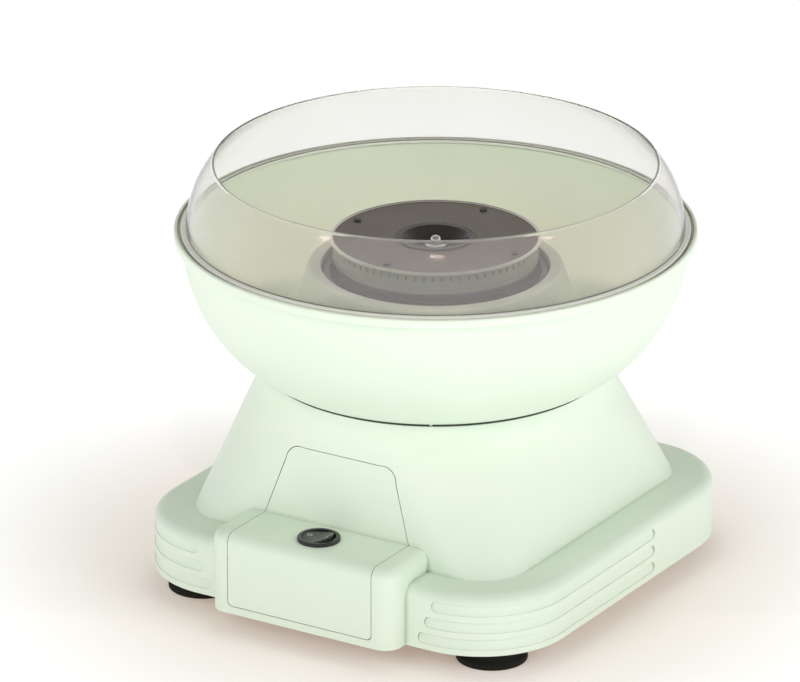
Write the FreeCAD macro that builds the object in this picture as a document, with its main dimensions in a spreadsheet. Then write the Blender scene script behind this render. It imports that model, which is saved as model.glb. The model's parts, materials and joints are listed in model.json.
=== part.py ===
import FreeCAD, Part
import math
import os
from types import SimpleNamespace

import Sketcher

# Cotton candy machine for the kitchen table. Millimetres, +Z up, the front with its switch box
# faces -Y. The origin is on the floor under the axis of the bowl and the spinning head.

doc = FreeCAD.newDocument("cotton_candy_machine")
sheet = doc.addObject("Spreadsheet::Sheet", "Sizes")

SIZES = {
    # plinth, pedestal and deck of the base housing
    "wall": 3.0,
    "plinth_half": 128.0,
    "plinth_corner": 52.0,
    "plinth_bottom": 12.0,
    "plinth_top": 47.0,
    "plinth_round": 6.5,
    "pedestal_half": 105.4,
    "pedestal_corner": 30.0,
    "pedestal_top": 122.2,
    "pedestal_radius": 95.5,
    "deck_radius": 92.0,
    "deck_top": 121.2,
    "deck_hole": 33.0,
    # grip grooves round the two front corners
    "groove_top": 41.5,
    "groove_pitch": 9.9,
    "groove_height": 6.2,
    "groove_depth": 1.9,
    "groove_start": 75.5,
    "groove_step": 4.2,
    "groove_end": 25.0,
    # switch box and the inlaid fascia over it
    "box_half": 59.5,
    "box_front": 142.7,
    "box_corner": 10.0,
    "box_top": 59.0,
    "box_round": 6.0,
    "fascia_half": 46.3,
    "fascia_foot": 16.8,
    "fascia_top": 99.4,
    "fascia_top_half": 32.7,
    "fascia_corner": 8.0,
    "fascia_thick": 1.5,
    "seam": 0.35,
    # rocker switch
    "switch_y": 122.0,
    "switch_barrel": 10.2,
    "bezel_radius": 12.0,
    "bezel_height": 2.0,
    "switch_bore": 9.5,
    "switch_depth": 24.0,
    "rocker_radius": 8.7,
    "rocker_pivot": 57.5,
    "trunnion_radius": 1.5,
    # feet and bottom plate
    "foot_radius": 19.8,
    "foot_neck": 5.0,
    "foot_offset": 94.0,
    "plate_bottom": 12.3,
    "plate_thick": 2.5,
    "plate_gap": 0.3,
    "boss_x": 112.0,
    "boss_y": 50.0,
    "boss_radius": 4.5,
    "screw_radius": 1.5,
    "gland_height": 29.0,
    "gland_barrel": 5.5,
    # bowl
    "rim_radius": 145.0,
    "rim_top": 203.6,
    "rim_height": 5.2,
    "bowl_mouth": 138.2,
    "bowl_wall": 2.6,
    "bowl_side": 140.7,
    "bowl_turn": 97.5,
    "bowl_floor": 124.2,
    "bowl_curve": 87.1,
    "bowl_foot": 91.1,
    "bowl_gap": 0.3,
    "collar_bore": 63.6,
    "collar_lip": 69.7,
    "collar_top": 180.0,
    "collar_base": 87.0,
    "ledge_radius": 142.9,
    "ledge_depth": 1.7,
    "peg_radius": 0.9,
    "peg_circle": 94.2,
    # clear splash guard
    "guard_top": 241.4,
    "guard_mouth": 123.6,
    "guard_wall": 1.8,
    "guard_side": 138.5,
    "guard_curve": 59.0,
    "guard_flange": 142.5,
    "guard_base": 1.7,
    # motor
    "shaft_radius": 2.5,
    "run_gap": 0.05,
    "can_radius": 18.0,
    "can_wall": 1.4,
    "can_bottom": 56.2,
    "can_top": 113.2,
    "bush_radius": 4.0,
    "motor_plate_radius": 44.0,
    "motor_plate_thick": 2.0,
    "mount_circle": 38.0,
    "mount_radius": 6.0,
    "fan_bottom": 30.0,
    "fan_height": 9.0,
    "fan_radius": 24.0,
    "core_radius": 12.9,
    "core_bottom": 66.0,
    "core_height": 38.0,
    "magnet_bore": 13.4,
    # heater
    "tower_radius": 56.0,
    "tower_wall": 2.5,
    "tower_top": 150.0,
    "tower_flange": 61.0,
    "shield_radius": 52.0,
    "shield_thick": 0.8,
    "spacer_height": 3.0,
    "spacer_circle": 30.0,
    "tray_radius": 60.5,
    "tray_thick": 1.2,
    "tray_top": 176.5,
    "ring_radius": 42.0,
    "ring_wire": 3.2,
    "ring_height": 168.9,
    "pin_radius": 2.0,
    # spinning head
    "disc_radius": 59.0,
    "disc_top": 196.4,
    "disc_thick": 1.3,
    "disc_bead": 1.0,
    "funnel_radius": 22.4,
    "pan_radius": 57.4,
    "pan_bottom": 176.0,
    "pan_thick": 1.5,
    "mesh_bottom": 186.0,
    "mesh_radius": 57.0,
    "mesh_thick": 1.2,
    "head_screw_circle": 51.0,
    "hub_radius": 6.0,
    "hub_bottom": 166.0,
    "pin_height": 170.5,
    "drive_pin_radius": 1.25,
    # electrical parts and leads
    "block_x": -78.0,
    "block_y": 40.0,
    "board_x": 74.0,
    "board_y": 44.0,
    "board_bottom": 21.0,
    "lead_radius": 1.2,
}


class Size:
    """A length together with the sheet expression that gives it."""

    def __init__(self, value, text):
        self.value = value
        self.text = text

    def __add__(self, other):
        other = size(other)
        return Size(self.value + other.value, f"({self.text} + {other.text})")

    def __sub__(self, other):
        other = size(other)
        return Size(self.value - other.value, f"({self.text} - {other.text})")

    def __mul__(self, factor):
        return Size(self.value * factor, f"({self.text} * ({factor:.6f}))")

    def __neg__(self):
        return self * -1.0


def size(value):
    """A plain number as a Size."""
    if isinstance(value, Size):
        return value
    return Size(float(value), f"({float(value):.6f})")


for row, (alias, value) in enumerate(SIZES.items(), start=1):
    sheet.set(f"A{row}", alias)
    sheet.set(f"B{row}", str(value))
    sheet.setAlias(f"B{row}", alias)
doc.recompute()
d = SimpleNamespace(**{alias: Size(value, f"Sizes.{alias}") for alias, value in SIZES.items()})

SUBPARTS = []


def bind(thing, prop, value):
    """Sets a property to a size and ties it to the sheet."""
    thing.setExpression(prop, size(value).text)


def place(thing, x=0, y=0, z=0):
    """Puts an object at a point given in sizes."""
    for axis, value in zip("xyz", (x, y, z)):
        bind(thing, f"Placement.Base.{axis}", value)
    return thing


def subpart(thing, label):
    """Names an object as a separate piece of the machine."""
    thing.Label = label
    SUBPARTS.append(thing)
    return thing


def polar(radius, degrees):
    """The x and y sizes of a point on a circle round the axis."""
    angle = math.radians(degrees)
    return radius * math.cos(angle), radius * math.sin(angle)


# Part workbench: primitives and booleans

def cylinder(radius, height, x=0, y=0, z=0):
    """An upright cylinder that stands on the point x, y, z."""
    thing = doc.addObject("Part::Cylinder", "cylinder")
    bind(thing, "Radius", radius)
    bind(thing, "Height", height)
    return place(thing, x, y, z)


def box(length, width, height, x=0, y=0, z=0):
    """A box centred on x and y that stands at z."""
    thing = doc.addObject("Part::Box", "box")
    bind(thing, "Length", length)
    bind(thing, "Width", width)
    bind(thing, "Height", height)
    return place(thing, size(x) - size(length) * 0.5, size(y) - size(width) * 0.5, z)


def cut(base, *tools):
    """The base less every tool."""
    for tool in tools:
        result = doc.addObject("Part::Cut", "cut")
        result.Base = base
        result.Tool = tool
        base = result
    return base


def fuse(*shapes):
    """All shapes joined into one solid."""
    result = doc.addObject("Part::MultiFuse", "fuse")
    result.Shapes = list(shapes)
    return result


def common(base, tool):
    """What two shapes share."""
    result = doc.addObject("Part::Common", "common")
    result.Base = base
    result.Tool = tool
    return result


def group(*shapes):
    """Separate solids kept together, such as a set of screws."""
    result = doc.addObject("Part::Compound", "group")
    result.Links = list(shapes)
    return result


def turn(thing, degrees, axis=(0, 0, 1)):
    """Turns an object about its own base point."""
    thing.Placement.Rotation = FreeCAD.Rotation(FreeCAD.Vector(*axis), degrees)
    return thing


def screw(x, y, seat, head_radius, head_height, shank_radius, length, down=True):
    """A pan-head screw: its head sits on the height seat, its shank goes down or up."""
    if down:
        head = cylinder(head_radius, head_height, x, y, seat)
        shank = cylinder(shank_radius, length, x, y, size(seat) - length)
    else:
        head = cylinder(head_radius, head_height, x, y, size(seat) - head_height)
        shank = cylinder(shank_radius, length, x, y, seat)
    return fuse(head, shank)


# PartDesign workbench: sketches and features

def new_body(name):
    """An empty PartDesign body."""
    return doc.addObject("PartDesign::Body", name)


def new_sketch(body, role="XY_Plane", offset=0):
    """A sketch on one of the body's own origin planes, moved along its normal."""
    sketch = body.newObject("Sketcher::SketchObject", "sketch")
    plane = next(f for f in body.Origin.OriginFeatures if f.Role == role)
    sketch.AttachmentSupport = [(plane, "")]
    sketch.MapMode = "FlatFace"
    bind(sketch, "AttachmentOffset.Base.z", offset)
    return sketch


def fix_point(sketch, index, end, x, y):
    """Ties a sketch point to its two sizes; a size of zero puts it on the sketch axis."""
    for kind, value, axis in (("DistanceX", size(x), -2), ("DistanceY", size(y), -1)):
        if abs(value.value) < 1e-9:
            sketch.addConstraint(Sketcher.Constraint("PointOnObject", index, end, axis))
            continue
        number = sketch.addConstraint(Sketcher.Constraint(kind, -1, 1, index, end, value.value))
        bind(sketch, f"Constraints[{number}]", value)


def fix_radius(sketch, index, radius):
    """Ties the radius of a sketch circle or arc to a size."""
    radius = size(radius)
    number = sketch.addConstraint(Sketcher.Constraint("Radius", index, radius.value))
    bind(sketch, f"Constraints[{number}]", radius)


def circles(sketch, centres, radius):
    """Circles of one radius in a sketch."""
    for x, y in centres:
        centre = FreeCAD.Vector(size(x).value, size(y).value, 0)
        index = sketch.addGeometry(Part.Circle(centre, FreeCAD.Vector(0, 0, 1), size(radius).value))
        fix_point(sketch, index, 3, x, y)
        fix_radius(sketch, index, radius)


def bulge_point(start, end, radius, side):
    """The middle of an arc that bulges to the right or left of the way from start to end."""
    chord = end - start
    half = chord.Length / 2
    rise = radius - math.sqrt(radius * radius - half * half)
    right = FreeCAD.Vector(chord.y, -chord.x, 0).normalize()
    return (start + end) * 0.5 + right * (rise if side == "right" else -rise)


def end_near(sketch, index, point):
    """Which end, 1 or 2, of a sketch edge lies at a point."""
    first = sketch.getPoint(index, 1).distanceToPoint(point)
    second = sketch.getPoint(index, 2).distanceToPoint(point)
    return 1 if first < second else 2


def outline(sketch, corners):
    """A closed outline. A corner is (x, y), or (x, y, radius, side) where an arc leads to it."""
    points = [FreeCAD.Vector(size(c[0]).value, size(c[1]).value, 0) for c in corners]
    edges = []
    for number, corner in enumerate(corners):
        start = points[number - 1]
        end = points[number]
        if len(corner) == 4:
            middle = bulge_point(start, end, size(corner[2]).value, corner[3])
            index = sketch.addGeometry(Part.Arc(start, middle, end))
            fix_radius(sketch, index, corner[2])
        else:
            index = sketch.addGeometry(Part.LineSegment(start, end))
        edges.append(index)
    for number, corner in enumerate(corners):
        here = edges[number]
        following = edges[(number + 1) % len(edges)]
        end = end_near(sketch, here, points[number])
        start = end_near(sketch, following, points[number])
        sketch.addConstraint(Sketcher.Constraint("Coincident", here, end, following, start))
        fix_point(sketch, here, end, corner[0], corner[1])


def rounded_square(sketch, half, radius):
    """A square about the origin with round corners."""
    flat = size(half) - radius
    outline(sketch, [
        (flat, -size(half)),
        (half, -flat, radius, "right"),
        (half, flat),
        (flat, half, radius, "right"),
        (-flat, half),
        (-size(half), flat, radius, "right"),
        (-size(half), -flat),
        (-flat, -size(half), radius, "right"),
    ])


def pill(sketch, left, right, low, high):
    """A bar with round ends, level in the sketch."""
    radius = (size(high) - low) * 0.5
    middle = size(low) + radius
    ends = []
    for x, start in ((size(right) - radius, -90), (size(left) + radius, 90)):
        centre = FreeCAD.Vector(x.value, middle.value, 0)
        circle = Part.Circle(centre, FreeCAD.Vector(0, 0, 1), radius.value)
        arc = Part.ArcOfCircle(circle, math.radians(start), math.radians(start + 180))
        index = sketch.addGeometry(arc)
        fix_point(sketch, index, 3, x, middle)
        fix_radius(sketch, index, radius)
        ends.append((index, arc))
    for (here, arc), (following, other) in (ends, ends[::-1]):
        line = sketch.addGeometry(Part.LineSegment(arc.EndPoint, other.StartPoint))
        sketch.addConstraint(Sketcher.Constraint("Tangent", here, 2, line, 1))
        sketch.addConstraint(Sketcher.Constraint("Tangent", line, 2, following, 1))


def pad(body, sketch, length, both_ways=False):
    """A sketch raised along its normal."""
    feature = body.newObject("PartDesign::Pad", "pad")
    feature.Profile = sketch
    bind(feature, "Length", length)
    if both_ways:
        feature.SideType = "Symmetric"
    return feature


def pocket(body, sketch, length):
    """A sketch cut along its normal, checked to remove something."""
    doc.recompute()
    before = body.Shape.Volume
    feature = body.newObject("PartDesign::Pocket", "pocket")
    feature.Profile = sketch
    feature.Reversed = True
    bind(feature, "Length", length)
    doc.recompute()
    if body.Shape.Volume > before - 0.01:
        raise RuntimeError("a pocket cut nothing from " + body.Name)
    return feature


def loft(body, low_sketch, high_sketch):
    """A straight-sided loft between two sketches."""
    feature = body.newObject("PartDesign::AdditiveLoft", "loft")
    feature.Profile = low_sketch
    feature.Sections = [high_sketch]
    feature.Ruled = True
    return feature


def repeat_round(body, feature, count):
    """Copies of a feature round the vertical axis."""
    axis = next(f for f in body.Origin.OriginFeatures if f.Role == "Z_Axis")
    pattern = body.newObject("PartDesign::PolarPattern", "pattern")
    pattern.Originals = [feature]
    pattern.Axis = (axis, [""])
    pattern.Angle = 360
    pattern.Occurrences = count
    body.Tip = pattern
    return pattern


def turned(name, corners):
    """A body turned about the vertical axis from an outline of (radius, height) corners."""
    body = new_body(name)
    sketch = new_sketch(body, "XZ_Plane")
    outline(sketch, corners)
    revolution = body.newObject("PartDesign::Revolution", "revolution")
    revolution.Profile = sketch
    revolution.ReferenceAxis = (sketch, ["V_Axis"])
    revolution.Angle = 360
    return body


def tube(name, bore, radius, low, high):
    """A turned ring with square corners."""
    return turned(name, [(bore, low), (radius, low), (radius, high), (bore, high)])


def round_edges(body, radius, wanted):
    """Rounds the edges of a body's last feature for which wanted(edge) is true."""
    doc.recompute()
    base = body.Tip
    names = [f"Edge{n}" for n, edge in enumerate(base.Shape.Edges, start=1) if wanted(edge)]
    if not names:
        raise RuntimeError("no edge to round on " + body.Name)
    feature = body.newObject("PartDesign::Fillet", "fillet")
    feature.Base = (base, names)
    bind(feature, "Radius", radius)
    return feature


def circle_at(radius, height):
    """A test for the round edge of a turned body at a radius and height."""
    def test(edge):
        curve = edge.Curve
        return (isinstance(curve, Part.Circle) and abs(curve.Radius - size(radius).value) < 0.01
                and abs(curve.Center.z - size(height).value) < 0.01)
    return test


def level_at(height, front=None):
    """A test for edges that lie level at a height, all in front of a limit when one is given."""
    def test(edge):
        level = size(height).value
        limits = edge.BoundBox
        flat = abs(limits.ZMin - level) < 0.01 and abs(limits.ZMax - level) < 0.01
        return flat and (front is None or limits.YMin < front)
    return test


# Base housing: plinth and switch box in one moulding, with the pedestal seated on it, open below

def housing_form(name, inset, plinth_top, pedestal_top, radius, box_top):
    """The housing's outer form, drawn in by inset all round."""
    plinth = new_body(name + "_plinth")
    sketch = new_sketch(plinth, offset=d.plinth_bottom)
    rounded_square(sketch, d.plinth_half - inset, d.plinth_corner - inset)
    pad(plinth, sketch, plinth_top - d.plinth_bottom)
    round_edges(plinth, d.plinth_round - inset, level_at(plinth_top))

    pedestal = new_body(name + "_pedestal")
    low = new_sketch(pedestal, offset=plinth_top)
    rounded_square(low, d.pedestal_half - inset, d.pedestal_corner - inset)
    high = new_sketch(pedestal, offset=pedestal_top)
    rounded_square(high, radius, radius - 0.5)
    loft(pedestal, low, high)

    front = new_body(name + "_box")
    sketch = new_sketch(front, offset=d.plinth_bottom)
    half = d.box_half - inset
    corner = d.box_corner - inset
    front_y = -(d.box_front - inset)
    back_y = -(d.pedestal_half - 14)
    outline(sketch, [
        (half - corner, front_y),
        (half, front_y + corner, corner, "right"),
        (half, back_y),
        (-half, back_y),
        (-half, front_y + corner),
        (-half + corner, front_y, corner, "right"),
    ])
    pad(front, sketch, box_top - d.plinth_bottom)
    limit = back_y.value - 1
    round_edges(front, d.box_round - inset, level_at(box_top, limit))
    return fuse(plinth, pedestal, front)


def grip_grooves():
    """Three grooves round each front corner: deep at the top edge and running out below."""
    levels = []
    reach = d.plinth_half + 12
    for step in range(3):
        high = d.groove_top - d.groove_pitch * step
        low = high - d.groove_height
        start = d.groove_start - d.groove_step * step

        front_view = new_body("groove_front_view")
        sketch = new_sketch(front_view, "XZ_Plane")
        pill(sketch, -reach, -start, low, high)
        pill(sketch, start, reach, low, high)
        pad(front_view, sketch, reach * 2, both_ways=True)

        side_view = new_body("groove_side_view")
        sketch = new_sketch(side_view, "YZ_Plane")
        pill(sketch, -reach, d.groove_end, low, high)
        pad(side_view, sketch, reach * 2, both_ways=True)

        core = new_body("groove_core")
        lower = new_sketch(core, offset=low - 0.01)
        rounded_square(lower, d.plinth_half - 0.4, d.plinth_corner - 0.4)
        upper = new_sketch(core, offset=high + 0.01)
        rounded_square(upper, d.plinth_half - d.groove_depth, d.plinth_corner - d.groove_depth)
        loft(core, lower, upper)
        levels.append(cut(common(front_view, side_view), core))
    return group(*levels)


def fascia_window(grow):
    """The fascia's outline seen from the front, run through the housing from front to back."""
    body = new_body("fascia_window")
    sketch = new_sketch(body, "XZ_Plane", offset=d.pedestal_radius - 20)
    foot = d.fascia_foot - grow
    top = d.fascia_top + grow
    half = d.fascia_half + grow
    top_half = d.fascia_top_half + grow
    corner = d.fascia_corner
    slope = (SIZES["fascia_half"] - SIZES["fascia_top_half"]) / (SIZES["fascia_top"] - SIZES["box_top"])
    outline(sketch, [
        (half - 3, foot),
        (half, foot + 3, 3, "right"),
        (half, d.box_top),
        (top_half + corner * slope, top - corner),
        (top_half - corner, top, corner * 1.1, "right"),
        (-top_half + corner, top),
        (-top_half - corner * slope, top - corner, corner * 1.1, "right"),
        (-half, d.box_top),
        (-half, foot + 3),
        (-half + 3, foot, 3, "right"),
    ])
    pad(body, sketch, d.box_front)
    return body


outer_form = housing_form(
    "outer", 0, d.plinth_top, d.pedestal_top, d.pedestal_radius, d.box_top)
backing_form = housing_form(
    "backing", d.fascia_thick, d.plinth_top - d.fascia_thick, d.pedestal_top,
    d.pedestal_radius - d.fascia_thick, d.box_top - d.fascia_thick)
inner_form = housing_form(
    "inner", d.wall, d.plinth_top - d.wall, d.deck_top - d.wall,
    d.pedestal_radius - d.wall + 0.6, d.box_top - d.wall)
skin = cut(outer_form, backing_form)
switch_hole = cylinder(d.switch_barrel, 20, 0, -d.switch_y, d.box_top - 10)

fascia = cut(common(skin, fascia_window(0)), switch_hole)
subpart(fascia, "front_fascia")

boss_places = [(d.boss_x * sx, d.boss_y * sy) for sx in (-1, 1) for sy in (-1, 1)]
plate_top = d.plate_bottom + d.plate_thick
bosses = [cylinder(d.boss_radius, d.plinth_top - d.wall + 0.5 - plate_top, x, y, plate_top)
          for x, y in boss_places]
pilots = [cylinder(d.screw_radius, 14, x, y, plate_top) for x, y in boss_places]
deck_bottom = d.deck_top - d.wall
deck_screw_circle = (d.tower_flange + d.tower_radius) * 0.5
deck_screw_places = [polar(deck_screw_circle, 90 + 120 * n) for n in range(3)]
mount_places = [polar(d.mount_circle, 30 + 120 * n) for n in range(3)]
deck_holes = [cylinder(d.screw_radius, 8, x, y, deck_bottom - 2)
              for x, y in deck_screw_places + mount_places]
deck_recess = cylinder(d.deck_radius, 10, 0, 0, d.deck_top)
deck_opening = cylinder(d.deck_hole, 20, 0, 0, deck_bottom - 5)
peg_x, peg_y = polar(d.peg_circle, -60)
peg_notch = cylinder(d.peg_radius + 0.6, 6, peg_x, peg_y, d.deck_top)
gland_hole = turn(cylinder(d.gland_barrel, 20, 0, d.plinth_half + 5, d.gland_height), 90, (1, 0, 0))
shell = cut(outer_form, inner_form, common(skin, fascia_window(d.seam)), grip_grooves(),
            switch_hole, deck_recess, deck_opening, peg_notch, gland_hole, *deck_holes)
housing = cut(fuse(shell, *bosses), *pilots)
pedestal_side = d.pedestal_half * 2
pedestal_room = box(pedestal_side, pedestal_side, d.pedestal_top, 0, 0, d.plinth_top)
subpart(cut(housing, pedestal_room), "base_housing")
subpart(common(housing, pedestal_room), "pedestal_housing")


# Rocker switch

barrel_top = d.box_top
switch_low = d.box_top - d.switch_depth
switch_body = turned("switch_barrel", [
    (0, switch_low),
    (d.switch_barrel, switch_low),
    (d.switch_barrel, barrel_top),
    (d.bezel_radius, barrel_top),
    (d.bezel_radius, barrel_top + d.bezel_height),
    (d.switch_bore, barrel_top + d.bezel_height),
    (d.switch_bore, barrel_top - 9),
    (0, barrel_top - 9),
])
round_edges(switch_body, 0.9, circle_at(d.bezel_radius, barrel_top + d.bezel_height))
place(switch_body, 0, -d.switch_y, 0)
pivot_hole = turn(cylinder(d.trunnion_radius + d.run_gap, 19.8, 0, -d.switch_y + 9.9, d.rocker_pivot),
                  90, (1, 0, 0))
subpart(cut(switch_body, pivot_hole), "switch_body")

rocker = new_body("rocker")
sketch = new_sketch(rocker, "XZ_Plane")
outline(sketch, [
    (-4, d.rocker_pivot - 4),
    (4, d.rocker_pivot - 4),
    (d.rocker_radius, d.rocker_pivot),
    (d.rocker_radius, d.rocker_pivot + 4.3),
    (0, d.rocker_pivot + 2.9, 30, "left"),
    (-d.rocker_radius, d.rocker_pivot + 4.3, 30, "left"),
    (-d.rocker_radius, d.rocker_pivot),
])
pad(rocker, sketch, d.rocker_radius * 2, both_ways=True)
place(rocker, 0, -d.switch_y, 0)
rocker_round = cylinder(d.rocker_radius, 20, 0, -d.switch_y, d.rocker_pivot - 8)
trunnions = turn(cylinder(d.trunnion_radius, 19.4, 0, -d.switch_y + 9.7, d.rocker_pivot), 90, (1, 0, 0))
rocker_cap = fuse(common(rocker, rocker_round), trunnions)
REST_TILT = -7.0
doc.recompute()
tilted = doc.addObject("Part::Compound", "tilted_cap")
tilted.Links = [rocker_cap]
pivot = FreeCAD.Vector(0, -d.switch_y.value, d.rocker_pivot.value)
tilt = FreeCAD.Rotation(FreeCAD.Vector(0, 1, 0), REST_TILT)
tilted.Placement = FreeCAD.Placement(pivot - tilt.multVec(pivot), tilt)
subpart(tilted, "rocker_cap")

terminals = [box(0.8, 4.8, 7, 4.5 * side, -d.switch_y, switch_low - 7) for side in (-1, 1)]
subpart(group(*terminals), "switch_terminals")


# Bottom plate, feet and cord gland

plate = new_body("plate")
sketch = new_sketch(plate, offset=d.plate_bottom)
plate_half = d.plinth_half - d.wall - d.plate_gap
rounded_square(sketch, plate_half, d.plinth_corner - d.wall - d.plate_gap)
pad(plate, sketch, d.plate_thick)
sketch = new_sketch(plate, offset=d.plate_bottom)
tongue_half = d.box_half - d.wall - d.plate_gap
tongue_front = -(d.box_front - d.wall - d.plate_gap)
outline(sketch, [(-tongue_half, tongue_front + 7), (-tongue_half + 7, tongue_front, 7, "right"),
                 (tongue_half - 7, tongue_front), (tongue_half, tongue_front + 7, 7, "right"),
                 (tongue_half, -plate_half + 20), (-tongue_half, -plate_half + 20)])
pad(plate, sketch, d.plate_thick)
sketch = new_sketch(plate, offset=d.plate_bottom)
circles(sketch, [(d.foot_offset * sx, d.foot_offset * sy) for sx in (-1, 1) for sy in (-1, 1)],
        d.foot_neck)
circles(sketch, boss_places, d.screw_radius)
pocket(plate, sketch, d.plate_thick)
sketch = new_sketch(plate, offset=d.plate_bottom)
pill(sketch, 14, 34, -1.6, 1.6)
vent = pocket(plate, sketch, d.plate_thick)
repeat_round(plate, vent, 16)
subpart(plate, "bottom_plate")

subpart(group(*[screw(x, y, d.plate_bottom, 3.4, 1.9, d.screw_radius, 13, down=False)
                for x, y in boss_places]), "plate_screws")

for side_x, side_name in ((-1, "left"), (1, "right")):
    for side_y, end_name in ((-1, "front"), (1, "rear")):
        foot = turned("foot", [
            (0, 4.5),
            (15.5, 0, 40, "left"),
            (d.foot_radius - 2.2, 0),
            (d.foot_radius, 2.6, 2.9, "right"),
            (d.foot_radius, d.plate_bottom - 3),
            (d.foot_radius - 3, d.plate_bottom),
            (d.foot_neck, d.plate_bottom),
            (d.foot_neck, plate_top),
            (d.foot_neck + 2, plate_top),
            (d.foot_neck, plate_top + 3),
            (0, plate_top + 3),
        ])
        place(foot, d.foot_offset * side_x, d.foot_offset * side_y, 0)
        subpart(foot, f"foot_{end_name}_{side_name}")

gland = turned("gland", [
    (3.3, -6.5),
    (d.gland_barrel + 2, -6.5),
    (d.gland_barrel + 2, -3),
    (d.gland_barrel, -3),
    (d.gland_barrel, 0),
    (d.gland_barrel + 2.2, 0),
    (d.gland_barrel + 1, 3.5),
    (3.3, 3.5),
])
place(gland, 0, d.plinth_half, d.gland_height)
turn(gland, -90, (1, 0, 0))
subpart(gland, "cord_gland")


# Heater tower, shield, tray and heating element

tower = turned("tower", [
    (d.tower_radius - d.tower_wall, d.deck_top),
    (d.tower_flange, d.deck_top),
    (d.tower_flange, d.deck_top + d.tower_wall),
    (d.tower_radius, d.deck_top + d.tower_wall),
    (d.tower_radius, d.tower_top),
    (5, d.tower_top),
    (5, d.tower_top - 9),
    (9, d.tower_top - 9),
    (9, d.tower_top - d.tower_wall),
    (d.tower_radius - d.tower_wall, d.tower_top - d.tower_wall),
])
GAP_DEGREES = 25
pin_places = [polar(d.ring_radius, 0), polar(d.ring_radius, -GAP_DEGREES)]
spacer_places = [polar(d.spacer_circle, 60 + 120 * n) for n in range(3)]
post_places = [polar(d.ring_radius, 60 + 110 * n) for n in range(3)]
sketch = new_sketch(tower, offset=d.tower_top - d.tower_wall - 1)
circles(sketch, pin_places, d.pin_radius + 3)
circles(sketch, spacer_places, d.screw_radius)
pocket(tower, sketch, d.tower_wall + 1)
sketch = new_sketch(tower, offset=d.deck_top)
circles(sketch, deck_screw_places, d.screw_radius)
pocket(tower, sketch, d.tower_wall)
subpart(tower, "heater_tower")

subpart(tube("head_bush", d.shaft_radius + d.run_gap, 5, d.tower_top - 9, d.tower_top), "tower_bush")
subpart(group(*[screw(x, y, d.deck_top + d.tower_wall, 2.3, 1.8, d.screw_radius, 6)
                for x, y in deck_screw_places]), "deck_screws")

shield = tube("shield", 8, d.shield_radius, d.tower_top + d.spacer_height,
              d.tower_top + d.spacer_height + d.shield_thick)
sketch = new_sketch(shield, offset=d.tower_top + d.spacer_height)
circles(sketch, pin_places, d.pin_radius + 3)
circles(sketch, spacer_places, d.screw_radius)
pocket(shield, sketch, d.shield_thick)
subpart(shield, "heat_shield")

tray_bottom = d.tower_top + d.spacer_height * 2 + d.shield_thick
spacers = []
for x, y in spacer_places:
    for low in (d.tower_top, d.tower_top + d.spacer_height + d.shield_thick):
        spacers.append(cut(cylinder(4, d.spacer_height, x, y, low),
                           cylinder(d.screw_radius, d.spacer_height, x, y, low)))
subpart(group(*spacers), "tray_spacers")

tray_floor = tray_bottom + d.tray_thick
tray = turned("tray", [
    (8, tray_bottom),
    (d.tray_radius - 3, tray_bottom),
    (d.tray_radius, tray_bottom + 3, 3, "right"),
    (d.tray_radius, d.tray_top - d.tray_thick),
    (d.tray_radius + 1.6, d.tray_top - d.tray_thick),
    (d.tray_radius + 1.6, d.tray_top),
    (d.tray_radius - d.tray_thick, d.tray_top),
    (d.tray_radius - d.tray_thick, tray_floor + 2),
    (d.tray_radius - d.tray_thick - 2, tray_floor, 2, "left"),
    (8, tray_floor),
])
sketch = new_sketch(tray, offset=tray_bottom)
circles(sketch, pin_places, d.pin_radius + 2.4)
circles(sketch, spacer_places, d.screw_radius)
pocket(tray, sketch, d.tray_thick)
subpart(tray, "heater_tray")
subpart(group(*[screw(x, y, tray_floor, 3, 2, d.screw_radius, tray_floor - d.tower_top + 4)
                for x, y in spacer_places]), "tray_screws")

ring = doc.addObject("Part::Torus", "ring")
bind(ring, "Radius1", d.ring_radius)
bind(ring, "Radius2", d.ring_wire)
ring.Angle3 = 360 - GAP_DEGREES
place(ring, 0, 0, d.ring_height)
pin_low = d.tower_top - 6
pins = [cylinder(d.pin_radius, d.ring_height - pin_low, x, y, pin_low) for x, y in pin_places]
heating_element = fuse(ring, *pins)
subpart(heating_element, "heating_element")
saddle_ring = doc.addObject("Part::Torus", "saddle_ring")
bind(saddle_ring, "Radius1", d.ring_radius)
bind(saddle_ring, "Radius2", d.ring_wire)
place(saddle_ring, 0, 0, d.ring_height)
subpart(group(*[cut(cylinder(5, d.ring_height - tray_floor + 0.8, x, y, tray_floor), saddle_ring)
                for x, y in post_places]), "ceramic_posts")
subpart(group(*[cut(cylinder(d.pin_radius + 2.4, 6, x, y, tray_bottom - 1.6),
                    cylinder(d.pin_radius, 6, x, y, tray_bottom - 1.6))
                for x, y in pin_places]), "ceramic_bushes")

tower_ceiling = d.tower_top - d.tower_wall
cutout_x = -34
cutout_y = 16
cutout = fuse(cylinder(7, 7, cutout_x, cutout_y, tower_ceiling - 7),
              box(24, 6, 1, cutout_x, cutout_y, tower_ceiling - 1),
              box(0.8, 5, 8, cutout_x - 4, cutout_y, tower_ceiling - 14),
              box(0.8, 5, 8, cutout_x + 4, cutout_y, tower_ceiling - 14))
subpart(cutout, "thermal_cutout")


# Motor hung under the deck on rubber mounts

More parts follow.
